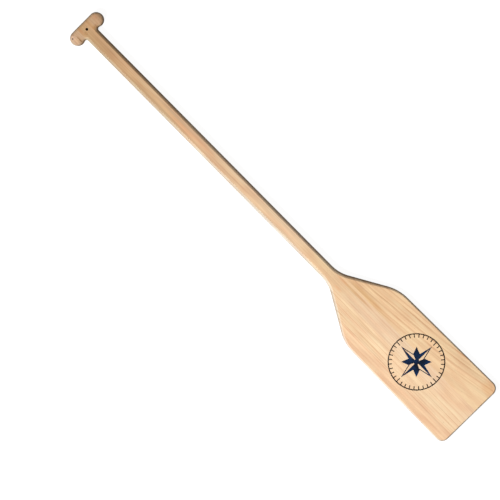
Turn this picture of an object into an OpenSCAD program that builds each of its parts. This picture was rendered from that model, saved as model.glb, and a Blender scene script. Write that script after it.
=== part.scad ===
// Wooden oar with a T grip: one long stave carries grip cheeks at one end and blade boards at the other.
// +X runs from the grip to the tip, +Y is the right-hand side seen from the printed face, +Z is up
// from the printed face. The origin is the middle of the oar's length and width, on its underside.

/* [Overall] */
// Length from the top of the grip to the tip of the blade
oar_l = 1200; // [1000:10:1600]

/* [Shaft] */
// Width of the shaft
shaft_w = 32; // [28:1:36]
// Thickness of the shaft and of the grip
shaft_t = 28; // [26:1:34]
// Radius along the four long edges of the shaft
shaft_edge_r = 7.5; // [4:0.5:9]

/* [Grip] */
// Width of the T across the shaft
grip_w = 90; // [84:1:120]
// Depth of the T along the shaft, at its round ends
grip_d = 32.5; // [32:0.5:38]
// How much shallower the T is beside the shaft
grip_waist = 1.8; // [0.5:0.1:2.5]
// Radius in the corners between the T and the shaft
grip_fillet_r = 4.5; // [2:0.5:6]
// Radius along the long edges of the T
grip_edge_r = 6.5; // [3:0.5:8]
// Radius over the two ends of the T
grip_end_r = 11; // [6:0.5:12]
// Diameter of the hole for a hanging cord
hole_d = 6; // [4:0.5:8]
// Distance from the top of the grip to the middle of the hole
hole_from_top = 17.5; // [15.5:0.5:19]

/* [Grip dowels] */
// Diameter of the two dowels that pin the cheeks to the stave
dowel_d = 6; // [4:0.5:7]
// Length of the two dowels
dowel_l = 64; // [50:1:66]
// Distance of each dowel from the middle of the T, along the shaft
dowel_offset = 9.5; // [8.5:0.5:10]

/* [Blade] */
// Length of the blade from the neck to the tip
blade_l = 444; // [420:1:520]
// Width of the blade just below its shoulders
blade_w = 168; // [150:1:190]
// Width of the blade at its tip
tip_w = 174; // [156:1:200]
// Angle between the shaft and the straight part of the shoulders
shoulder_a = 30; // [28:1:40]
// Radius of the shoulders
shoulder_r = 100; // [60:1:120]
// Radius in the neck, where the shaft meets the shoulders
neck_r = 80; // [40:1:100]
// Radius of the two corners at the tip
tip_r = 17; // [8:1:30]
// Thickness of the blade below its shoulders
blade_t = 13; // [11:0.5:18]
// Thickness of the blade at its tip
tip_t = 9; // [8:0.5:12]
// Length over which the shaft's thickness falls to the blade's
taper_l = 175; // [120:5:190]
// Radius of the blade's edge as a share of half its thickness
edge_share = 0.62; // [0.4:0.02:0.8]

/* [Boards] */
// Distance from the centre line to the joint of the left edge strip
strip_joint = 55; // [40:1:64]

/* [Emblem] */
// Diameter of the printed compass card
emblem_d = 125; // [90:1:130]
// Distance from the tip of the blade to the middle of the emblem
emblem_from_tip = 167; // [140:1:172]
// Width of the emblem's ring
emblem_line = 2.4; // [1:0.1:3]
// Thickness of the ink
ink_t = 0.2; // [0.1:0.05:0.4]

/* [Hidden] */

// Steps in each quarter of an edge's rounding, and in each arc of the outline
edge_steps = 8;
arc_steps = 12;
round_fn = 64;

grip_top_x = -oar_l / 2;
tip_x = oar_l / 2;
neck_x = tip_x - blade_l;
mid_z = shaft_t / 2;
side_y = shaft_w / 2;
grip_mid_x = grip_top_x + grip_d / 2;
hole_x = grip_top_x + hole_from_top;
// A point that sees the whole rim of the grip's flat, past the waist
fan_x = grip_top_x + 0.3 * grip_d;

// The lobes' round ends, and the waist beside the shaft
lobe_r = grip_d / 2;
lobe_y = grip_w / 2 - lobe_r;
waist_x = grip_top_x + grip_d - grip_waist;
waist_y = side_y + grip_fillet_r;
// Tightest radius of the curve from the lobe to the waist, which the edge's rounding stays under
waist_bend_r = 2 / grip_waist * pow((lobe_y - waist_y) / PI, 2);
long_edge_r = min(grip_edge_r, 0.85 * waist_bend_r);

// The shoulder is a straight flare between the neck's hollow arc and the shoulder's round arc,
// and the blade's side leans out a little from there to the tip
side_a = atan((tip_w - blade_w) / 2 / (blade_l - taper_l));
neck_cy = side_y + neck_r;
flare_x = neck_x + neck_r * sin(shoulder_a);
flare_y = neck_cy - neck_r * cos(shoulder_a);
tip_cx = tip_x - tip_r;
// Height of the leaning side line at a given x, and the arcs' centres that touch it
function lean_y(x) = tip_w / 2 - (tip_x - x) * tan(side_a);
tip_cy = lean_y(tip_cx) - tip_r / cos(side_a);
shoulder_cx = (lean_y(0) - shoulder_r / cos(side_a) - flare_y + flare_x * tan(shoulder_a)
    + shoulder_r / cos(shoulder_a)) / (tan(shoulder_a) - tan(side_a));
shoulder_cy = lean_y(shoulder_cx) - shoulder_r / cos(side_a);

// The cheeks and boards stop this share of an arc's radius short of running out to nothing
feather = 0.1;

// The emblem lies on the flat lower part of the blade, which leans with the taper to the tip
emblem_x = tip_x - emblem_from_tip;
face_a = atan((blade_t - tip_t) / 2 / (blade_l - taper_l));
ring_r = emblem_d / 2;
tick_count = 36;
tick_w = 2;
tick_l = 0.13 * ring_r;
long_tick_l = 0.17 * ring_r;
rose_long_r = 0.76 * ring_r;
rose_short_r = 0.53 * ring_r;
rose_waist_r = 0.3 * ring_r;
hub_r = 0.1 * ring_r;
rose_line = 1.8;
// The rose's long and short points alternate
function rose_r(i) = i % 2 == 0 ? rose_long_r : rose_short_r;

// Half the thickness at a given x: full on the shaft, easing down past the neck, then an even taper
function half_t(x) =
    x <= neck_x ? shaft_t / 2 :
    x < neck_x + taper_l ? let (s = (x - neck_x) / taper_l)
        blade_t / 2 + (shaft_t - blade_t) / 2 * (1 - s * s * (3 - 2 * s)) :
    (blade_t + (tip_t - blade_t) * (x - neck_x - taper_l) / (blade_l - taper_l)) / 2;

// Edge radius on the blade, never more than the shaft's
function blade_edge_r(x) = min(shaft_edge_r, edge_share * half_t(x));

// Points of an arc, each with its inward normal and its edge radius: [x, y, nx, ny, r].
// side is 1 where the outline bulges out and -1 in a hollow. r0 and r1 are the end radii.
function arc(cx, cy, r, a0, a1, side, r0, r1, steps = arc_steps) = [
    for (i = [0:steps]) let (s = i / steps, a = a0 + (a1 - a0) * s)
    [cx + r * cos(a), cy + r * sin(a), -side * cos(a), -side * sin(a), r0 + (r1 - r0) * s]];

function with_blade_edge(points) = [
    for (p = points) [p[0], p[1], p[2], p[3], blade_edge_r(p[0])]];

// The T's round end: its edge radius grows from the long edges to the middle of the end
function lobe_end() = [
    for (p = arc(grip_top_x + lobe_r, lobe_y, lobe_r, 180, 0, 1, 0, 0, 3 * arc_steps))
    [p[0], p[1], p[2], p[3], long_edge_r + (grip_end_r - long_edge_r) * p[3] * p[3]]];

// The T's lower edge eases from the lobe in to the waist
function waist_curve() = [
    for (i = [1:arc_steps - 1]) let (
        s = i / arc_steps,
        lean = atan(grip_waist * PI / 2 * sin(180 * s) / (lobe_y - waist_y)))
    [grip_top_x + grip_d - grip_waist * (1 - cos(180 * s)) / 2, lobe_y + (waist_y - lobe_y) * s,
        -cos(lean), sin(lean), long_edge_r]];

// The right half of the outline, from the top of the grip to the tip
grip_half = concat(lobe_end(), waist_curve(),
    arc(waist_x + grip_fillet_r, waist_y, grip_fillet_r, 180, 270, -1, long_edge_r, shaft_edge_r));
straight_flare = [for (i = [1:arc_steps - 1]) let (
        start = [flare_x, flare_y],
        end = [shoulder_cx - shoulder_r * sin(shoulder_a), shoulder_cy + shoulder_r * cos(shoulder_a)],
        p = start + (end - start) * i / arc_steps)
    [p[0], p[1], sin(shoulder_a), -cos(shoulder_a), 0]];
blade_half = with_blade_edge(concat(
    arc(neck_x, neck_cy, neck_r, 270, 270 + shoulder_a, -1, 0, 0),
    straight_flare,
    arc(shoulder_cx, shoulder_cy, shoulder_r, 90 + shoulder_a, 90 + side_a, 1, 0, 0),
    [for (x = [neck_x + taper_l]) if (x > shoulder_cx + 1)
        [x, lean_y(x), sin(side_a), -cos(side_a), 0]],
    arc(tip_cx, tip_cy, tip_r, 90 + side_a, 0, 1, 0, 0)));
right_half = concat(grip_half, blade_half);
half_n = len(right_half);
left_half = [for (i = [half_n - 1:-1:0]) let (p = right_half[i]) [p[0], -p[1], p[2], -p[3], p[4]]];
outline = concat(right_half, left_half);
outline_n = 2 * half_n;
grip_n = len(grip_half);
// The outline's points on the grip, which close across the top of the shaft
grip_loop = concat([for (i = [0:grip_n - 1]) i], [for (i = [outline_n - grip_n:outline_n - 1]) i]);
loop_n = 2 * grip_n;

// Levels from the rim of the underside up to the rim of the top face: [angle, 1 above or -1 below]
levels = concat(
    [for (i = [edge_steps:-1:0]) [90 * i / edge_steps, -1]],
    [for (i = [0:edge_steps]) [90 * i / edge_steps, 1]]);

function form_point(p, level) = let (
        r = p[4],
        inset = r * (1 - cos(level[0])),
        h = half_t(p[0]))
    [p[0] + p[2] * inset, p[1] + p[3] * inset, mid_z + level[1] * (h - r + r * sin(level[0]))];

// The whole oar's outside as one closed form, which the boards are cut from
module oar_form() {
    top = len(levels) - 1;
    rim = top * outline_n;
    centre = (top + 1) * outline_n;
    polyhedron(
        points = concat(
            [for (level = levels) for (p = outline) form_point(p, level)],
            [[fan_x, 0, 0], [fan_x, 0, shaft_t]]),
        faces = concat(
            [for (j = [0:top - 1]) for (i = [0:outline_n - 1]) let (k = (i + 1) % outline_n)
                [j * outline_n + i, j * outline_n + k, (j + 1) * outline_n + k, (j + 1) * outline_n + i]],
            // The flats of the grip, as triangles around one point of the T
            [for (k = [0:loop_n - 1]) [centre, grip_loop[(k + 1) % loop_n], grip_loop[k]]],
            [for (k = [0:loop_n - 1])
                [centre + 1, rim + grip_loop[k], rim + grip_loop[(k + 1) % loop_n]]],
            // The flats of the shaft and blade, in strips across them
            [for (i = [grip_n - 1:half_n - 2])
                [i, outline_n - 1 - i, outline_n - 2 - i, i + 1]],
            [for (i = [grip_n - 1:half_n - 2])
                [rim + i, rim + i + 1, rim + outline_n - 2 - i, rim + outline_n - 1 - i]]));
}

// A block that spans the oar's thickness, between two ends along X and two distances from the
// centre line. side is 1 for the right-hand side and -1 for the left.
module slab(side, x0, x1, inner, outer)
    translate([x0, side > 0 ? inner : -outer, -1]) cube([x1 - x0, outer - inner, shaft_t + 2]);

// The space of one grip cheek, and of the blade boards between two distances from the centre line
module cheek_slab(side)
    slab(side, grip_top_x - 1, waist_x + grip_fillet_r * (1 - feather), side_y, grip_w);
module board_slab(side, inner, outer)
    slab(side, neck_x + neck_r * feather, tip_x + 1, inner, outer);

module dowel_pair()
    for (s = [-1, 1]) translate([grip_mid_x + s * dowel_offset, dowel_l / 2, mid_z])
        rotate([90, 0, 0]) cylinder(d = dowel_d, h = dowel_l, $fn = round_fn);

module shaft_stave()
    color("burlywood") difference() {
        intersection() {
            oar_form();
            slab(1, grip_top_x - 1, tip_x + 1, -side_y, side_y);
        }
        translate([hole_x, 0, -1]) cylinder(d = hole_d, h = shaft_t + 2, $fn = round_fn);
        dowel_pair();
    }

module grip_cheek(side)
    color("tan") difference() {
        intersection() {
            oar_form();
            cheek_slab(side);
        }
        dowel_pair();
    }

module grip_cheek_left() grip_cheek(-1);
module grip_cheek_right() grip_cheek(1);

module grip_dowels()
    color("peru") dowel_pair();

module blade_board(side, inner, outer)
    intersection() {
        oar_form();
        board_slab(side, inner, outer);
    }

module blade_board_left()
    color("moccasin") blade_board(-1, side_y, strip_joint);

module blade_edge_strip_left()
    color("navajowhite") blade_board(-1, strip_joint, tip_w);

module blade_board_right()
    color("wheat") blade_board(1, side_y, tip_w);

// The flat drawing of the compass card's graduated ring
module card_ring() {
    difference() {
        circle(r = ring_r, $fn = 2 * round_fn);
        circle(r = ring_r - emblem_line, $fn = 2 * round_fn);
    }
    for (i = [0:tick_count - 1]) let (l = i % (tick_count / 4) == 0 ? long_tick_l : tick_l)
        rotate(i * 360 / tick_count) translate([ring_r - emblem_line / 2 - l, -tick_w / 2])
            square([l, tick_w]);
}

// The hollow half of one long point of the rose, which leaves a line of even width outside it
module rose_hollow(r) {
    side = rose_waist_r * [cos(22.5), -sin(22.5)];
    edge = norm([r, 0] - side);
    tip_cut = rose_line * edge / -side[1];
    side_cut = rose_line * edge / (-side[1] * r);
    polygon([[0, 0], side * (1 - side_cut), [r - tip_cut, 0]]);
}

// The flat drawing of the compass rose: four long points, half filled and half hollow, and four
// short filled ones between them
module card_rose() {
    difference() {
        polygon([for (i = [0:7]) each [
            rose_r(i) * [cos(45 * i), sin(45 * i)],
            rose_waist_r * [cos(45 * i + 22.5), sin(45 * i + 22.5)]]]);
        for (i = [0:3]) rotate(90 * i) rose_hollow(rose_long_r);
    }
    circle(r = hub_r, $fn = round_fn);
}

module printed_emblem()
    color("midnightblue")
        translate([emblem_x, 0, mid_z + half_t(emblem_x)]) rotate([0, face_a, 0])
            linear_extrude(ink_t) {
                card_ring();
                card_rose();
            }

shaft_stave();
grip_cheek_left();
grip_cheek_right();
grip_dowels();
blade_board_left();
blade_edge_strip_left();
blade_board_right();
printed_emblem();
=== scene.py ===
"""Looks for the wooden oar with a T grip: glued pine boards, a drilled grip and a printed emblem.

Lengths are written in millimetres in the CAD frame and turned into metres where a mesh is made.
+X runs from the grip to the tip, +Y is the right-hand side seen from the printed face, +Z is up.
"""

import math

import bmesh
import bpy
from mathutils import Matrix, Vector


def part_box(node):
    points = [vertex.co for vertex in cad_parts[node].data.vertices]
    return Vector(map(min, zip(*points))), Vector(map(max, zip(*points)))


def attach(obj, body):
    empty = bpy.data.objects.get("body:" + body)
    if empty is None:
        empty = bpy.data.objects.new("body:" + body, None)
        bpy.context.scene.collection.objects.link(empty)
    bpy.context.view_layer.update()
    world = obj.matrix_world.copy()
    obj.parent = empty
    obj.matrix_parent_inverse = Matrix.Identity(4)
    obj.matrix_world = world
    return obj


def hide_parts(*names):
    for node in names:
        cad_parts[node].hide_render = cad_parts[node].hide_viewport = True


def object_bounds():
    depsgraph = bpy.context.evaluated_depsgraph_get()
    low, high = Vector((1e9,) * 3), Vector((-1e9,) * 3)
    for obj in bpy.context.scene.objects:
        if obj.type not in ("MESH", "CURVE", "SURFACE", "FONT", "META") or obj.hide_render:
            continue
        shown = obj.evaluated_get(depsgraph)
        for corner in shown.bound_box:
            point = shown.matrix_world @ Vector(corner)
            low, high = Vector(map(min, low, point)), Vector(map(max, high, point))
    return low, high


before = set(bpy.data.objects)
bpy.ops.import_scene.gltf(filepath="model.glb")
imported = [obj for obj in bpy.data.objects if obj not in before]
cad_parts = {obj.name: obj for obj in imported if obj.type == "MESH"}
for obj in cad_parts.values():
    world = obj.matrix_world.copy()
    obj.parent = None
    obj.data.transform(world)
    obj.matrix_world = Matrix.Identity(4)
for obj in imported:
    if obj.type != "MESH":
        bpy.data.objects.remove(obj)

cad_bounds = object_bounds()
MM = 0.001
BODY = "root"


def box_mm(node):
    lo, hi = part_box(node)
    return [c / MM for c in lo], [c / MM for c in hi]


# ---------------------------------------------------------------- sizes, from the CAD nodes' boxes
stave_lo, stave_hi = box_mm("shaft_stave")
cheek_hi = box_mm("grip_cheek_right")[1]
board_lo = box_mm("blade_board_right")[0]
strip_hi = box_mm("blade_edge_strip_left")[1]
emblem_lo, emblem_hi = box_mm("printed_emblem")

TOP_X, TIP_X = stave_lo[0], stave_hi[0]
SIDE_Y = stave_hi[1]
THICK = stave_hi[2]
MID_Z = THICK / 2
GRIP_HALF = cheek_hi[1]
CHEEK_END_X = cheek_hi[0]
BOARD_X = board_lo[0]
STRIP_Y = -strip_hi[1]
EMBLEM_X, EMBLEM_Y = (emblem_lo[0] + emblem_hi[0]) / 2, (emblem_lo[1] + emblem_hi[1]) / 2
EMBLEM_R = (emblem_hi[1] - emblem_lo[1]) / 2

# The outline's other sizes, as in the CAD source
GRIP_D, GRIP_WAIST, FILLET_R = 32.5, 1.8, 4.5
HOLE_D, HOLE_FROM_TOP = 6.0, 17.5
DOWEL_D, DOWEL_L, DOWEL_OFFSET = 6.0, 64.0, 9.5
BLADE_L, BLADE_W, TIP_W = 444.0, 168.0, 174.0
SHOULDER_A, SHOULDER_R, NECK_R, TIP_R = math.radians(30), 100.0, 80.0, 17.0
BLADE_T, TIP_T, TAPER_L = 13.0, 9.0, 175.0

# Width in plan and first slope of the worked edges
SHAFT_EDGE, GRIP_EDGE, GRIP_END_EDGE = 6.2, 6.5, 8.0
SHAFT_CREASE, GRIP_CREASE = math.radians(29), math.radians(8)
BLADE_EDGE_SHARE = 0.6

NECK_X = TIP_X - BLADE_L
TAPER_X = NECK_X + TAPER_L
GRIP_X = TOP_X + GRIP_D / 2
HOLE_X = TOP_X + HOLE_FROM_TOP
LOBE_R = GRIP_D / 2
LOBE_Y = GRIP_HALF - LOBE_R
WAIST_X = TOP_X + GRIP_D - GRIP_WAIST
WAIST_Y = SIDE_Y + FILLET_R
SIDE_A = math.atan((TIP_W - BLADE_W) / 2 / (BLADE_L - TAPER_L))

# Steps along the outline's stretches, and around its edge
LOBE_STEPS, WAIST_STEPS, FLARE_STEPS, SHOULDER_STEPS, TIP_STEPS, BEND_STEPS = 48, 16, 24, 24, 20, 16
EDGE_STEPS = 14
# Where the points lie along the blade's straight sides
SIDE_STATIONS = (TAPER_X, 400, 460, 520)
# Mesh edges that turn more than this stay sharp, and points closer than this, in metres, are joined
SHARP, WELD = math.radians(12), 1e-7


def half_t(x):
    """Half the thickness at x."""
    if x <= NECK_X:
        return THICK / 2
    if x < TAPER_X:
        s = (x - NECK_X) / TAPER_L
        return BLADE_T / 2 + (THICK - BLADE_T) / 2 * (1 - s * s * (3 - 2 * s))
    return (BLADE_T + (TIP_T - BLADE_T) * (x - TAPER_X) / (BLADE_L - TAPER_L)) / 2


# ---------------------------------------------------------------- outline
# Each outline point is [x, y, inward normal x, inward normal y, edge width, first slope]

def arc(cx, cy, r, a0, a1, side, steps, edges=(0, 0), creases=(0, 0)):
    """An arc's points: side is 1 for a round arc and -1 for a hollow one.

    The edge width and the first slope go evenly from one end of the arc to the other.
    """
    out = []
    for i in range(steps + 1):
        s = i / steps
        a = a0 + (a1 - a0) * s
        c, n = math.cos(a), math.sin(a)
        out.append([cx + r * c, cy + r * n, -side * c, -side * n,
                    edges[0] + (edges[1] - edges[0]) * s, creases[0] + (creases[1] - creases[0]) * s])
    return out


def blade_side_y(x):
    """The blade's straight side, which leans out a little towards the tip."""
    return TIP_W / 2 - (TIP_X - x) * math.tan(SIDE_A)


def grip_outline():
    """The right half of the T, from the end of its straight top to the shaft."""
    pts = arc(TOP_X + LOBE_R, LOBE_Y, LOBE_R, math.pi, 0, 1, LOBE_STEPS,
              creases=(GRIP_CREASE, GRIP_CREASE))
    for p in pts:
        p[4] = GRIP_EDGE + (GRIP_END_EDGE - GRIP_EDGE) * p[3] ** 2
    for i in range(1, WAIST_STEPS):
        s = i / WAIST_STEPS
        lean = math.atan(GRIP_WAIST * math.pi / 2 * math.sin(math.pi * s) / (LOBE_Y - WAIST_Y))
        x = TOP_X + GRIP_D - GRIP_WAIST * (1 - math.cos(math.pi * s)) / 2
        y = LOBE_Y + (WAIST_Y - LOBE_Y) * s
        pts.append([x, y, -math.cos(lean), math.sin(lean), GRIP_EDGE, GRIP_CREASE])
    return pts + arc(WAIST_X + FILLET_R, WAIST_Y, FILLET_R, math.pi, 1.5 * math.pi, -1, BEND_STEPS,
                     (GRIP_EDGE, SHAFT_EDGE), (GRIP_CREASE, SHAFT_CREASE))


def blade_outline():
    """The right half of the blade, from the neck to the end of the straight tip."""
    # Middles of the neck's hollow arc and of the tip's corner, and where the straight flare starts
    neck_y = SIDE_Y + NECK_R
    tip_x = TIP_X - TIP_R
    tip_y = blade_side_y(tip_x) - TIP_R / math.cos(SIDE_A)
    flare = (NECK_X + NECK_R * math.sin(SHOULDER_A), neck_y - NECK_R * math.cos(SHOULDER_A))
    # Middle of the shoulder's arc, which touches both the flare and the straight side
    flare_0 = flare[1] - flare[0] * math.tan(SHOULDER_A) - SHOULDER_R / math.cos(SHOULDER_A)
    side_0 = blade_side_y(0) - SHOULDER_R / math.cos(SIDE_A)
    shoulder_x = (side_0 - flare_0) / (math.tan(SHOULDER_A) - math.tan(SIDE_A))
    shoulder_y = blade_side_y(shoulder_x) - SHOULDER_R / math.cos(SIDE_A)
    end = (shoulder_x - SHOULDER_R * math.sin(SHOULDER_A),
           shoulder_y + SHOULDER_R * math.cos(SHOULDER_A))
    pts = arc(NECK_X, neck_y, NECK_R, 1.5 * math.pi, 1.5 * math.pi + SHOULDER_A, -1, BEND_STEPS)
    for i in range(1, FLARE_STEPS):
        s = i / FLARE_STEPS
        pts.append([flare[0] + (end[0] - flare[0]) * s, flare[1] + (end[1] - flare[1]) * s,
                    math.sin(SHOULDER_A), -math.cos(SHOULDER_A), 0, 0])
    pts += arc(shoulder_x, shoulder_y, SHOULDER_R, math.pi / 2 + SHOULDER_A, math.pi / 2 + SIDE_A, 1,
               SHOULDER_STEPS)
    for x in SIDE_STATIONS:
        pts.append([x, blade_side_y(x), math.sin(SIDE_A), -math.cos(SIDE_A), 0, 0])
    pts += arc(tip_x, tip_y, TIP_R, math.pi / 2 + SIDE_A, 0, 1, TIP_STEPS)
    for p in pts:
        p[4], p[5] = min(SHAFT_EDGE, BLADE_EDGE_SHARE * half_t(p[0])), SHAFT_CREASE
    return pts


def edge_profile(width, crease):
    """(inset, drop) from the flat's rim down to the side, an arc that starts at the crease's slope."""
    r = width / (1 - math.sin(crease))
    out = []
    for i in range(EDGE_STEPS + 1):
        a = crease + (math.pi / 2 - crease) * i / EDGE_STEPS
        out.append((r * (1 - math.sin(a)), r * (math.cos(crease) - math.cos(a))))
    return out


def mesh_object(name, bm):
    me = bpy.data.meshes.new(name)
    bm.normal_update()
    bm.to_mesh(me)
    bm.free()
    ob = bpy.data.objects.new(name, me)
    bpy.context.scene.collection.objects.link(ob)
    return ob


def join_rings(bm, rings):
    """Quads between each ring of points and the next."""
    for a, b in zip(rings, rings[1:]):
        for i in range(len(a)):
            k = (i + 1) % len(a)
            bm.faces.new((a[i], a[k], b[k], b[i]))


def oar_form():
    """The whole oar's outside as one closed mesh, which the boards are cut from."""
    grip, blade = grip_outline(), blade_outline()
    right = grip + blade
    left = [[p[0], -p[1], p[2], -p[3], p[4], p[5]] for p in reversed(right)]
    outline = right + left
    n, grip_n = len(outline), len(grip)
    profiles = [edge_profile(p[4], p[5]) for p in outline]
    bm = bmesh.new()
    rows = []
    for sign in (1, -1):
        for j in range(EDGE_STEPS + 1)[::sign]:
            row = []
            for p, profile in zip(outline, profiles):
                inset, drop = profile[j]
                row.append(bm.verts.new(((p[0] + p[2] * inset) * MM, (p[1] + p[3] * inset) * MM,
                                         (MID_Z + sign * (half_t(p[0] + p[2] * inset) - drop)) * MM)))
            rows.append(row)
    join_rings(bm, rows)
    for row, step in ((rows[0], -1), (rows[-1], 1)):
        bm.faces.new((row[n - grip_n:] + row[:grip_n])[::step])
        for i in range(grip_n - 1, len(right) - 1):
            bm.faces.new([row[i], row[i + 1], row[n - 2 - i], row[n - 1 - i]][::step])
    bmesh.ops.recalc_face_normals(bm, faces=bm.faces)
    return mesh_object("form", bm)


# ---------------------------------------------------------------- cutting tools
# How far a tool runs past the oar's outline, and past its faces
PAST_SIDE, PAST_FACE = 9, 5


def block(x0, x1, y0, y1):
    """A cutting block that spans the oar's thickness."""
    bm = bmesh.new()
    bmesh.ops.create_cube(bm, size=1)
    for v in bm.verts:
        v.co = Vector(((x0, x1)[v.co.x > 0] * MM, (y0, y1)[v.co.y > 0] * MM,
                       (-PAST_FACE, THICK + PAST_FACE)[v.co.z > 0] * MM))
    return mesh_object("block", bm)


def lathe(profile, centre, axis, segments=64):
    """A turned cutting tool: profile is (radius, distance along the axis)."""
    bm = bmesh.new()
    rings = []
    for r, d in profile:
        ring = []
        for i in range(segments):
            a = 2 * math.pi * i / segments
            u, v = r * math.cos(a), r * math.sin(a)
            p = (u, v, d) if axis == "z" else (u, d, v)
            ring.append(bm.verts.new([(c + q) * MM for c, q in zip(centre, p)]))
        rings.append(ring)
    join_rings(bm, rings)
    bm.faces.new(rings[0])
    bm.faces.new(rings[-1])
    bmesh.ops.recalc_face_normals(bm, faces=bm.faces)
    return mesh_object("lathe", bm)


def end_space(side, crease_y, start, drop_z, bow):
    """The space that a rounded-over end of the grip keeps.

    The flat ends at crease_y from the centre line and falls away by drop_z to the grip's end, in part
    of an ellipse that begins at the angle start. bow is how far out the crease has curved where it
    meets the long edges.
    """
    steps, stations, past = 30, 24, 4
    # The space rises over the flat for this far inwards, and ends this far outside the grip
    reach, clear = 26.0, 0.05
    run = (GRIP_HALF + clear - crease_y) / (1 - math.sin(start))
    top = []
    for i in range(steps + 1):
        a = start + (math.pi / 2 - start) * i / steps
        top.append((crease_y + run * (math.sin(a) - math.sin(start)),
                    MID_Z - drop_z * (1 - math.cos(a) / math.cos(start))))
    slope = (top[0][1] - top[1][1]) / (top[1][0] - top[0][0])
    top = [(crease_y - reach, MID_Z + reach * slope)] + top
    loop = [(y, MID_Z + h) for y, h in top] + [(y, MID_Z - h) for y, h in reversed(top)]
    bm = bmesh.new()
    x0, x1 = TOP_X - past, CHEEK_END_X + past
    rings = []
    for i in range(stations + 1):
        x = x0 + (x1 - x0) * i / stations
        out = bow * ((x - GRIP_X) / (GRIP_D / 2)) ** 2
        rings.append([bm.verts.new((x * MM, side * (y + out) * MM, z * MM)) for y, z in loop])
    bm.faces.new(rings[0])
    bm.faces.new(rings[-1])
    join_rings(bm, rings)
    bmesh.ops.recalc_face_normals(bm, faces=bm.faces)
    return mesh_object("end_space", bm)


def boolean(ob, tool, op):
    mod = ob.modifiers.new("cut", "BOOLEAN")
    mod.object, mod.operation, mod.solver = tool, op, "MANIFOLD"
    dg = bpy.context.evaluated_depsgraph_get()
    me = bpy.data.meshes.new_from_object(ob.evaluated_get(dg))
    ob.modifiers.clear()
    old = ob.data
    ob.data = me
    bpy.data.meshes.remove(old)
    if not me.polygons:
        raise RuntimeError(f"cutting {ob.name} left nothing")


def copy_of(ob, name):
    new = bpy.data.objects.new(name, ob.data.copy())
    bpy.context.scene.collection.objects.link(new)
    return new


def drop(*obs):
    for o in obs:
        me = o.data
        bpy.data.objects.remove(o)
        bpy.data.meshes.remove(me)


def shade(ob):
    """Smooth across the worked edges, sharp at creases and joints."""
    me = ob.data
    bm = bmesh.new()
    bm.from_mesh(me)
    bmesh.ops.remove_doubles(bm, verts=bm.verts, dist=WELD)
    for f in bm.faces:
        f.smooth = True
    for e in bm.edges:
        e.smooth = len(e.link_faces) == 2 and e.calc_face_angle() < SHARP
    bm.to_mesh(me)
    bm.free()
    mod = ob.modifiers.new("normals", "WEIGHTED_NORMAL")
    mod.keep_sharp = True
    mod.mode = "FACE_AREA"


# ---------------------------------------------------------------- boards
form = oar_form()
spaces = {
    "cheek_left": block(TOP_X - PAST_SIDE, CHEEK_END_X, -GRIP_HALF - PAST_SIDE, -SIDE_Y),
    "cheek_right": block(TOP_X - PAST_SIDE, CHEEK_END_X, SIDE_Y, GRIP_HALF + PAST_SIDE),
    "board_left": block(BOARD_X, TIP_X + PAST_SIDE, -STRIP_Y, -SIDE_Y),
    "edge_strip": block(BOARD_X, TIP_X + PAST_SIDE, -TIP_W, -STRIP_Y),
    "board_right": block(BOARD_X, TIP_X + PAST_SIDE, SIDE_Y, TIP_W),
}
# The hanging hole has a small break of its edge at both faces
BREAK_W, BREAK_PAST, BREAK_DEPTH = 1.4, 1, 0.4
hole = lathe([(HOLE_D / 2 + BREAK_W, -BREAK_PAST), (HOLE_D / 2, BREAK_DEPTH),
              (HOLE_D / 2, THICK - BREAK_DEPTH), (HOLE_D / 2 + BREAK_W, THICK + BREAK_PAST)],
             (HOLE_X, 0, 0), "z")
dowel_holes = [lathe([(DOWEL_D / 2, -DOWEL_L / 2), (DOWEL_D / 2, DOWEL_L / 2)],
                     (GRIP_X + s * DOWEL_OFFSET, 0, MID_Z), "y") for s in (-1, 1)]
# The left end has a sanded facet with a curved crease, and the right end a fuller round
round_overs = {
    "cheek_left": end_space(-1, crease_y=28.6, start=math.radians(30), drop_z=11.0, bow=5.0),
    "cheek_right": end_space(1, crease_y=32.5, start=math.radians(3), drop_z=8.8, bow=2.5),
}

pieces = {}
for name, space in spaces.items():
    ob = copy_of(form, "pine_" + name)
    boolean(ob, space, "INTERSECT")
    if name in round_overs:
        boolean(ob, round_overs[name], "INTERSECT")
        for d in dowel_holes:
            boolean(ob, d, "DIFFERENCE")
    pieces[name] = ob
stave = copy_of(form, "pine_stave")
for tool in list(spaces.values()) + [hole] + dowel_holes:
    boolean(stave, tool, "DIFFERENCE")
pieces["stave"] = stave
drop(form, hole, *round_overs.values(), *dowel_holes, *spaces.values())

STANDS_FOR = {
    "stave": "shaft_stave", "cheek_left": "grip_cheek_left", "cheek_right": "grip_cheek_right",
    "board_left": "blade_board_left", "edge_strip": "blade_edge_strip_left",
    "board_right": "blade_board_right",
}
for name, ob in pieces.items():
    shade(ob)
    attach(ob, BODY)
    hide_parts(STANDS_FOR[name])


# ---------------------------------------------------------------- materials

def srgb(r, g, b):
    out = []
    for c in (r, g, b):
        c /= 255
        out.append(c / 12.92 if c <= 0.04045 else ((c + 0.055) / 1.055) ** 2.4)
    return (*out, 1)


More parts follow.
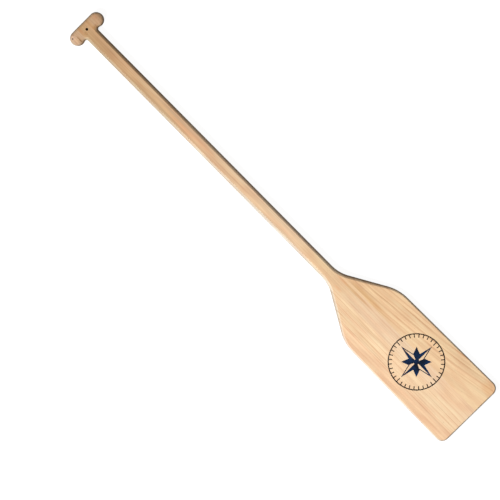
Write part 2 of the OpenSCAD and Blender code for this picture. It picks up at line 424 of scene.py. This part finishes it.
class Graph:
    """A few short calls that build the node tree of a material or a world."""

    def __init__(self, owner):
        self.owner = owner
        self.owner.use_nodes = True
        self.tree = self.owner.node_tree
        self.tree.nodes.clear()

    def put(self, socket, value):
        if isinstance(value, bpy.types.NodeSocket):
            self.tree.links.new(value, socket)
        else:
            socket.default_value = value

    def node(self, kind, inputs=(), **props):
        n = self.tree.nodes.new(kind)
        for k, v in props.items():
            setattr(n, k, v)
        for k, v in dict(inputs).items():
            self.put(n.inputs[k], v)
        return n

    def math(self, op, a, b=None, c=None, clamp=False):
        n = self.node("ShaderNodeMath", operation=op, use_clamp=clamp)
        for i, v in enumerate((a, b, c)):
            if v is not None:
                self.put(n.inputs[i], v)
        return n.outputs[0]

    def add(self, a, b):
        return self.math("ADD", a, b)

    def sub(self, a, b):
        return self.math("SUBTRACT", a, b)

    def mul(self, a, b):
        return self.math("MULTIPLY", a, b)

    def length(self, a, b):
        return self.math("SQRT", self.add(self.mul(a, a), self.mul(b, b)))

    def smooth(self, x, lo, hi, out_lo=0.0, out_hi=1.0):
        n = self.node("ShaderNodeMapRange", {"Value": x, "From Min": lo, "From Max": hi,
                                             "To Min": out_lo, "To Max": out_hi},
                      interpolation_type="SMOOTHSTEP")
        return n.outputs[0]

    def coordinates(self, kind):
        return self.node("ShaderNodeTexCoord").outputs[kind]

    def split(self, vector):
        return self.node("ShaderNodeSeparateXYZ", {0: vector}).outputs

    def place_mm(self):
        """The place on the object, as x, y and z in mm."""
        return self.split(self.scale(self.coordinates("Object"), 1 / MM))

    def scale(self, vector, by):
        return self.node("ShaderNodeVectorMath", {0: vector, "Scale": by}, operation="SCALE").outputs[0]

    def noise(self, place, sizes, shift=0.0, detail=2.0):
        """Noise from about -0.5 to 0.5, with a size in mm along each axis.

        The third axis is moved by the shift, which stands alone where place has only two axes.
        """
        scaled = [self.mul(p, 1 / size) for p, size in zip(place, sizes)]
        third = self.add(scaled[2], shift) if len(scaled) > 2 else shift
        vector = self.node("ShaderNodeCombineXYZ", {0: scaled[0], 1: scaled[1], 2: third}).outputs[0]
        n = self.node("ShaderNodeTexNoise", {"Vector": vector, "Scale": 1.0, "Detail": detail,
                                             "Roughness": 0.5})
        return self.sub(n.outputs[0], 0.5)

    def mix(self, fac, a, b, blend="MIX"):
        n = self.node("ShaderNodeMix", data_type="RGBA", blend_type=blend)
        n.clamp_factor = True
        for name, v in (("Factor", fac), ("A", a), ("B", b)):
            socket = next(s for s in n.inputs if s.name == name and s.enabled)
            self.put(socket, v)
        return next(s for s in n.outputs if s.enabled)

    def stain(self, fac, colour, by):
        """The colour, multiplied by another as far as fac says."""
        return self.mix(fac, colour, self.mix(1.0, colour, by, "MULTIPLY"))

    def ramp(self, fac, stops):
        n = self.node("ShaderNodeValToRGB", {"Fac": fac})
        els = n.color_ramp.elements
        while len(els) < len(stops):
            els.new(0.5)
        for e, (pos, v) in zip(els, stops):
            e.position = pos
            e.color = (v, v, v, 1)
        return n.outputs[0]

    def surface(self, colour, rough, height, strength, depth_mm, specular):
        """The finished material, with a bump of the given strength and depth."""
        bump = self.node("ShaderNodeBump", {"Strength": strength, "Distance": depth_mm * MM,
                                            "Height": height})
        bsdf = self.node("ShaderNodeBsdfPrincipled", {"Base Color": colour, "Roughness": rough,
                                                      "Normal": bump.outputs[0],
                                                      "Specular IOR Level": specular})
        self.node("ShaderNodeOutputMaterial", {"Surface": bsdf.outputs[0]})
        return self.owner


WHITE = (1, 1, 1, 1)
LATE = srgb(213, 167, 125)
# Colours that multiply the wood: sanded edges, partly wear and partly painted sheen, and cut ends, partly
# painted shade at the blade's shoulders, broad patches, then single marks, a few of them painted shade
# and painted highlight on the grip
EDGE_RUB_AND_SHEEN, GRIP_RUB_AND_SHEEN, END_GRAIN_AND_SHADE = (1.0, 1.34, 1.85, 1), (0.99, 1.24, 1.52, 1), srgb(205, 192, 178)
PALE, ROSE = srgb(255, 255, 252), srgb(248, 238, 233)
PINK, BROWN, SHADE = srgb(255, 243, 238), srgb(240, 228, 212), srgb(250, 247, 243)
# The crease colour below is painted shade, and the gold one a painted highlight, both for the grip's left
# facet
KNOT, CREASE_SHADE = srgb(78, 64, 54), srgb(214, 202, 176)
FACET_HIGHLIGHT, LIFT, AMBER = (1.1, 1.13, 1.04, 1), (1.08, 1.07, 1.08, 1), (0.93, 0.82, 0.74, 1)
DENSE, CHALK, DUSK = (0.88, 0.89, 0.88, 1), (1.0, 1.07, 1.17, 1), (0.88, 0.91, 0.95, 1)
WARM, DULL, STRAW = (1.0, 0.94, 0.88, 1), (0.95, 0.96, 0.96, 1), srgb(249, 247, 238)
PORE = srgb(150, 104, 66)
# Tones that fade along the oar, as pine() takes them
GRIP_TONE, NECK_TONE = (-640, 260, srgb(213, 198, 174)), (220, 460, srgb(249, 246, 243))

# The wood's patterns: size in mm along the grain, across it and through the board, the shift that
# keeps each one's noise apart from the others, and the noise's detail
SLOW_WAVES, QUICK_WAVES = ((260, 45, 45), 0, 1), ((60, 9, 9), 7.3, 2)
LINE_BREAKS, STREAKS, FIBRES = ((75, 6), 3.1, 1), ((80, 2.6, 3), 11, 2), ((14, 0.55, 0.6), 17, 2)
BANDS, PATCHES = ((150, 8), 51, 1), ((60, 14), 23, 2)
PORES, WEAR = ((5, 0.5, 0.5), 31, 1), ((18, 4, 4), 41, 2)
# The whole swing of the quick waves in mm, and what each pattern adds to the grain's darkness
QUICK_MM, STREAK_SHARE, FIBRE_SHARE, LEAST_GRAIN = 1.1, 0.48, 0.22, 0.06
# The bands' middle brightness, and how far they go from it
BAND_MID, BAND_DEPTH = 0.99, 0.3
# The height at which the rings lie at their given positions
RINGS_Z = 20.0
# From where to where the streaks pass from the shaft's strength to the blade's
STREAKS_CHANGE = (60, 220)
# Least distance between two stops of a colour ramp
STOP_GAP = 0.0005

# What smooth() is given below: the value's two ends, and the results there
LINE_STRENGTH, PATCH_MIX, PORE_DARKNESS = (-0.28, 0.22, 0.35, 1.1), (-0.2, 0.2), (0.19, 0.27, 0.0, 0.35)
# A mark's strength by the distance from its middle, and how much the quick waves blur that
MARK_STRENGTH, MARK_BLUR = (0.25, 1.0, 1.0, 0.0), 0.5
# The paler sanded edges, partly wear and partly painted sheen, start where the flat ends, and are weaker
# on upright sides, in spots, and on the right, away from the key light
RUB_SHEEN_OFF_FLAT, RUB_SHEEN_UPRIGHT = (0.97, 0.72, 0.0, 1.0), (0.0, 0.45, 0.35, 1.0)
RUB_SHEEN_WORN, SHEEN_WEAKER_RIGHT = (-0.4, 0.3, 0.6, 1.0), (-0.2, 0.2, 1.0, 0.4)
CUT_DARKNESS = (0.0, 0.8)


def latewood(g, across, lines):
    """Dark lines that each build up slowly on one side and end quickly on the other."""
    margin = 1
    lo = lines[0][0] - lines[0][2] - margin
    hi = lines[-1][0] + lines[-1][3] + margin
    stops, last = [], 0.0
    for pos, dark, before, after in lines:
        for at, v in ((pos - before, 0.0), (pos, dark), (pos + after, 0.0)):
            at = max((at - lo) / (hi - lo), last + STOP_GAP)
            stops.append((at, v))
            last = at
    return g.ramp(g.math("DIVIDE", g.sub(across, lo), hi - lo, clamp=True), stops)


def pine(name, early, late, lines, seed, drift=(), tilt=0.0, wander=2.0, strength=1.0, fades=(),
         marks=(), rub_and_sheen=EDGE_RUB_AND_SHEEN, streaky=(1, 1), cut=(0.5, 0.95)):
    """Pine with its grain along X. Rings lie at the positions in lines, across the board in mm.

    lines: (position, darkness, width of the slow side, width of the quick side).
    drift: (start x, softness, slope) terms that carry the grain sideways along the board.
    tilt: slope of the rings through the board's thickness, as sideways mm for each mm of depth.
    wander: the most that the slow waves move the rings, in mm.
    fades: (x0, x1, colour): the wood is multiplied by this colour at x0, and not at all from x1 on.
    marks: (x, y, length, width, colour): soft spots, streaks and knots that multiply the wood, and a few
    marks of painted shade and painted highlight on the grip.
    rub_and_sheen: colour that multiplies the wood on the sanded edges, partly wear and partly painted
    sheen, mostly on those on the left that face the light.
    streaky: how strong the streaks and bands are along the shaft, and in the blade.
    cut: how far the surface turns across the grain where it starts, and stops, getting darker.
    """
    g = Graph(bpy.data.materials.new(name))
    x, y, z = g.place_mm()

    def pattern(place, kind):
        sizes, shift, detail = kind
        return g.noise(place, sizes, seed + shift, detail)

    # Across the rings: the grain's sideways drift, its tilt through the thickness and its waviness
    across = g.add(y, g.mul(g.sub(z, RINGS_Z), tilt))
    for start, soft, slope in drift:
        d = g.sub(x, start)
        root = g.math("SQRT", g.add(g.mul(d, d), soft * soft))
        across = g.sub(across, g.mul(g.add(d, root), slope / 2))
    quick = pattern((x, y, z), QUICK_WAVES)
    waves = g.add(g.mul(pattern((x, y, z), SLOW_WAVES), 2 * wander), g.mul(quick, QUICK_MM))
    across = g.add(across, waves)

    # Latewood lines that come and go, narrow streaks and fine fibres along the grain
    breaks = pattern((x, across), LINE_BREAKS)
    late_mask = g.mul(latewood(g, across, lines), g.smooth(breaks, *LINE_STRENGTH))
    streak_gain = g.smooth(x, *STREAKS_CHANGE, *streaky)
    streaks = g.mul(pattern((x, across, z), STREAKS), streak_gain)
    fibres = pattern((x, across, z), FIBRES)
    fine = g.add(g.mul(streaks, STREAK_SHARE), g.mul(fibres, FIBRE_SHARE))
    grain = g.math("ADD", g.add(g.mul(late_mask, strength), fine), LEAST_GRAIN, clamp=True)
    colour = g.mix(grain, early, late)

    # Soft bands of denser wood, broad patches, the tone that changes along the board, and single marks
    bands = g.mul(pattern((x, across), BANDS), streak_gain)
    colour = g.scale(colour, g.math("MULTIPLY_ADD", bands, BAND_DEPTH, BAND_MID))
    patches = g.smooth(pattern((x, y), PATCHES), *PATCH_MIX)
    colour = g.mix(1.0, colour, g.mix(patches, PALE, ROSE), "MULTIPLY")
    for x0, x1, dark in fades:
        colour = g.mix(1.0, colour, g.mix(g.smooth(x, x0, x1), dark, WHITE), "MULTIPLY")
    for at_x, at_y, length, width, dark in marks:
        away = g.length(g.mul(g.sub(x, at_x), 2 / length), g.mul(g.sub(y, at_y), 2 / width))
        away = g.add(away, g.mul(quick, MARK_BLUR))
        colour = g.stain(g.smooth(away, *MARK_STRENGTH), colour, dark)

    # Short dark pores
    pores = pattern((x, across, z), PORES)
    colour = g.mix(g.smooth(pores, *PORE_DARKNESS), colour, PORE)

    # Paler, greyer wood on the sanded edges, partly wear and partly painted sheen on the edges that face
    # the light, and darker wood where the fibres are cut across, with painted shade on the blade's
    # shoulders
    facing = g.split(g.coordinates("Normal"))
    level = g.math("ABSOLUTE", facing[2])
    edge = g.mul(g.smooth(level, *RUB_SHEEN_OFF_FLAT), g.smooth(level, *RUB_SHEEN_UPRIGHT))
    edge = g.mul(edge, g.smooth(pattern((x, y, z), WEAR), *RUB_SHEEN_WORN))
    # Painted sheen: the paling fades on the right-hand edges, which face away from the key light
    edge = g.mul(edge, g.smooth(facing[1], *SHEEN_WEAKER_RIGHT))
    colour = g.stain(edge, colour, rub_and_sheen)
    # Darker end grain, which on the blade's boards also paints shade on the shoulder edges
    across_grain_and_shade = g.smooth(g.math("ABSOLUTE", facing[0]), *cut, *CUT_DARKNESS)
    colour = g.stain(across_grain_and_shade, colour, END_GRAIN_AND_SHADE)

    rough = g.add(g.mul(grain, 0.08), g.add(g.mul(fibres, 0.12), 0.5))
    height = g.add(g.mul(grain, -0.5), g.mul(fibres, 0.5))
    return g.surface(colour, rough, height, strength=0.35, depth_mm=0.12, specular=0.35)


def finish_with(ob, material):
    ob.data.materials.clear()
    ob.data.materials.append(material)


# The blade's boards darken early at the shoulders, where their edges run slantwise to the grain: partly
# cut fibres and partly painted shade on the shoulder edges
BOARD_CUT_AND_SHADE = (0.12, 0.5)
WOODS = {
    "stave": dict(
        early=srgb(246, 218, 184), late=srgb(213, 168, 130), seed=1.0, tilt=-0.25, wander=1.5,
        strength=0.7, streaky=(1.9, 0.75), fades=[GRIP_TONE, NECK_TONE],
        lines=[(-13, 0.5, 3, 1), (-8, 0.3, 2, 1), (-3.2, 0.5, 3, 1), (1.5, 0.35, 3, 1),
               (4.6, 0.6, 1.5, 0.8), (10.5, 0.5, 4, 1), (15, 0.3, 2, 1)],
        # The brown mark at x -574, y 14 is painted shade where the grip's right lower edge meets the
        # shaft
        marks=[(-588, -12, 26, 9, PINK), (-577, -8, 14, 8, BROWN), (-574, 14, 12, 12, BROWN),
               (-470, 0, 110, 40, LIFT), (-290, -3, 100, 18, PINK), (-225, 3, 90, 16, PINK),
               (-215, 0, 200, 40, LIFT), (-380, -7.3, 760, 9, DENSE), (-380, 6.3, 760, 8, CHALK),
               (-20, 6.3, 320, 9, DUSK), (550, 2, 130, 90, WARM), (160, 0, 240, 60, STRAW),
               (196, 10, 46, 12, PINK), (232, 11, 130, 11, BROWN), (200, -9, 30, 10, PINK)]),
    "board_left": dict(
        early=srgb(250, 222, 184), late=LATE, seed=5.0, tilt=-0.3, wander=1.5, strength=0.75,
        streaky=(0.85, 0.85), fades=[NECK_TONE], cut=BOARD_CUT_AND_SHADE,
        lines=[(-53.5, 0.9, 2.5, 0.8), (-49, 0.3, 3, 1), (-44, 0.8, 3, 1), (-37.5, 0.35, 2, 1),
               (-34, 0.7, 2.5, 1), (-27, 0.3, 2, 1), (-23.5, 0.7, 2.5, 1), (-17, 0.4, 2.5, 1)],
        marks=[(320, -46, 190, 14, SHADE), (300, -26, 170, 12, SHADE)]),
    "edge_strip": dict(
        early=srgb(244, 208, 170), late=srgb(212, 158, 118), seed=9.0, tilt=-0.4, strength=0.6,
        cut=BOARD_CUT_AND_SHADE,
        lines=[(-84, 0.4, 3, 1), (-78, 0.3, 3, 1), (-71, 0.5, 4, 1), (-64, 0.3, 3, 1),
               (-57.5, 0.7, 2.5, 1)]),
    "board_right": dict(
        early=srgb(246, 214, 172), late=srgb(204, 154, 110), seed=13.0, tilt=0.35, wander=1.2,
        strength=0.8, streaky=(0.9, 0.9), fades=[NECK_TONE], cut=BOARD_CUT_AND_SHADE,
        drift=[(262, 40, 0.088), (470, 60, 0.10)],
        lines=[(17, 0.5, 3, 1), (22, 0.5, 3, 1), (31, 0.7, 4, 1.2), (36.5, 0.3, 2, 1),
               (43, 0.8, 4, 1.2), (49, 0.4, 3, 1), (58, 0.9, 4, 1.2), (66, 0.5, 3, 1)],
        marks=[(262, 24, 170, 14, BROWN), (584, 70, 52, 34, AMBER), (470, 74, 300, 26, DULL)]),
    "cheek_left": dict(
        early=srgb(203, 170, 136), late=srgb(168, 124, 90), seed=21.0, tilt=0.3, wander=1.0,
        rub_and_sheen=GRIP_RUB_AND_SHEEN,
        lines=[(-42, 0.4, 3, 1), (-35, 0.5, 3, 1), (-28, 0.8, 3, 1), (-21, 0.5, 3, 1),
               (-16.5, 0.4, 2, 0.6)],
        # The two crease marks are painted shade along the facet's crease, and the gold mark a painted
        # highlight on the facet that faces the light
        marks=[(-589.6, -37, 5, 5, KNOT), (-579, -26.9, 24, 4.6, CREASE_SHADE),
               (-573.5, -27, 13, 5, CREASE_SHADE), (-581, -31.8, 20, 8, FACET_HIGHLIGHT)]),
    "cheek_right": dict(
        early=srgb(200, 166, 130), late=srgb(170, 126, 90), seed=27.0, tilt=-0.3, wander=1.0,
        rub_and_sheen=GRIP_RUB_AND_SHEEN,
        lines=[(17, 0.4, 1, 1), (24, 0.5, 3, 1), (31, 0.3, 3, 1), (38, 0.6, 3, 1)],
        # The brown mark is painted shade where the grip's right lower edge meets the shaft
        marks=[(-589, 31, 16, 14, PINK), (-573, 19, 14, 16, BROWN)]),
}
for name, ob in pieces.items():
    finish_with(ob, pine("wood_" + name, **WOODS[name]))


def hardwood():
    """Plain beech for the dowels: short flecks and fine pores along Y."""
    g = Graph(bpy.data.materials.new("beech"))
    place = g.place_mm()
    band = g.noise(place, (2.5, 40, 2.5))
    fleck = g.noise(place, (0.4, 3, 0.4))
    colour = g.mix(g.smooth(band, -0.25, 0.25), srgb(214, 176, 132), srgb(190, 146, 102))
    colour = g.mix(g.smooth(fleck, 0.08, 0.25, 0.0, 0.6), colour, srgb(150, 106, 70))
    rough = g.add(g.mul(fleck, 0.15), 0.62)
    return g.surface(colour, rough, fleck, strength=0.3, depth_mm=0.1, specular=0.3)


def ink():
    """Ink on wood, black for the ring and navy inside it, uneven where the grain takes it up."""
    g = Graph(bpy.data.materials.new("navy_ink"))
    x, y = g.place_mm()[:2]
    from_middle = g.length(g.sub(x, EMBLEM_X), g.sub(y, EMBLEM_Y))
    soak = g.noise((x, y), (30, 1.5), 3.0)
    blot = g.noise((x, y), (14, 14), 8.0)
    speck = g.noise((x, y), (2.2, 0.7), 15.0)
    thick = g.smooth(g.add(g.mul(soak, 0.6), blot), -0.22, 0.25)
    navy = g.mix(thick, srgb(4, 18, 38), srgb(12, 44, 84))
    black = g.mix(thick, srgb(10, 9, 10), srgb(28, 25, 26))
    colour = g.mix(g.smooth(from_middle, 0.77 * EMBLEM_R, 0.8 * EMBLEM_R), navy, black)
    colour = g.mix(g.smooth(speck, 0.24, 0.34, 0.0, 0.5), colour, srgb(170, 140, 118))
    rough = g.add(g.mul(soak, 0.2), 0.55)
    return g.surface(colour, rough, soak, strength=0.25, depth_mm=0.08, specular=0.1)


finish_with(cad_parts["grip_dowels"], hardwood())
finish_with(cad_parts["printed_emblem"], ink())

# ---------------------------------------------------------------- stage, lights and camera
# From here on, lengths are in metres
FLOOR_HALF, FLOOR_GAP = 20, 0.0005
# The floor's own colour, its glow for the camera, and how near a wall has to be to dim that glow into
# painted shade
PAPER, PAPER_GLOW, DIM_REACH = (0.24, 0.23, 0.22, 1), 0.94, 0.028
SKY_COLOUR, SKY_STRENGTH = (1.03, 1.0, 0.95, 1), 0.16
scene = bpy.context.scene
scene.view_settings.view_transform = "Standard"
scene.view_settings.look = "None"

bm = bmesh.new()
bmesh.ops.create_grid(bm, x_segments=1, y_segments=1, size=FLOOR_HALF)
floor = mesh_object("floor", bm)
floor.location = (0, 0, -FLOOR_GAP)


def by_ray(g, lighting, seen):
    """One shader for the rays that light the scene, and another for the camera's."""
    path = g.node("ShaderNodeLightPath").outputs
    return g.node("ShaderNodeMixShader", {0: path["Is Camera Ray"], 1: lighting, 2: seen}).outputs[0]


def floor_paint():
    """Pale paper that looks evenly white to the camera, with painted shade deep inside a narrow hole."""
    g = Graph(bpy.data.materials.new("floor_paint"))
    diffuse = g.node("ShaderNodeBsdfDiffuse", {"Color": PAPER}).outputs[0]
    # Painted shade: the glow fades where ambient occlusion finds walls close around, as under the hanging
    # hole
    open_sky = g.node("ShaderNodeAmbientOcclusion", {"Distance": DIM_REACH}, samples=16).outputs["AO"]
    strength = g.smooth(open_sky, 0.12, 0.3, 0.0, PAPER_GLOW)
    glow = g.node("ShaderNodeEmission", {"Color": WHITE, "Strength": strength})
    both = g.node("ShaderNodeAddShader", {0: diffuse, 1: glow.outputs[0]}).outputs[0]
    g.node("ShaderNodeOutputMaterial", {"Surface": by_ray(g, diffuse, both)})
    return g.owner


def studio():
    """Dim warm light from all sides, which the camera sees as white."""
    g = Graph(bpy.data.worlds.new("studio"))
    dim = g.node("ShaderNodeBackground", {"Color": SKY_COLOUR, "Strength": SKY_STRENGTH}).outputs[0]
    white = g.node("ShaderNodeBackground", {"Color": WHITE, "Strength": 1.0}).outputs[0]
    g.node("ShaderNodeOutputWorld", {"Surface": by_ray(g, dim, white)})
    return g.owner


def soft_light(name, direction, target, distance, size, power):
    data = bpy.data.lights.new(name, "AREA")
    data.shape, data.size, data.energy = "DISK", size, power
    ob = bpy.data.objects.new(name, data)
    d = Vector(direction).normalized()
    ob.location = Vector(target) + d * distance
    ob.rotation_euler = d.to_track_quat("Z", "Y").to_euler()
    scene.collection.objects.link(ob)


finish_with(floor, floor_paint())
scene.world = studio()
# The key light stands over the left-hand side and is aimed at the middle of the lower half
soft_light("key", direction=(-0.13, -0.56, 0.818), target=(0.27, 0, 0), distance=3.2, size=0.9, power=114)

# Camera above, leaning a little to the right-hand side, with the oar running down to the right
TURN, LEAN = math.radians(45.29), math.radians(4)
LENS, SENSOR, VIEW_W = 200.0, 36.0, 1.0861
# How far the picture's middle is from the oar's middle, to the picture's left and downwards
MOVE_LEFT, MOVE_DOWN = 0.0569, 0.0651
aim = Matrix.Rotation(-LEAN, 3, "X") @ Matrix.Rotation(TURN, 3, "Z")
right, up, back = aim.col[0], aim.col[1], aim.col[2]
middle = (cad_bounds[0] + cad_bounds[1]) / 2
cam_data = bpy.data.cameras.new("camera")
cam_data.lens, cam_data.sensor_width = LENS, SENSOR
cam_data.clip_end = 100
camera = bpy.data.objects.new("camera", cam_data)
camera.location = middle - MOVE_LEFT * right - MOVE_DOWN * up + back * VIEW_W * LENS / SENSOR
camera.rotation_euler = aim.to_euler()
scene.collection.objects.link(camera)
scene.camera = camera
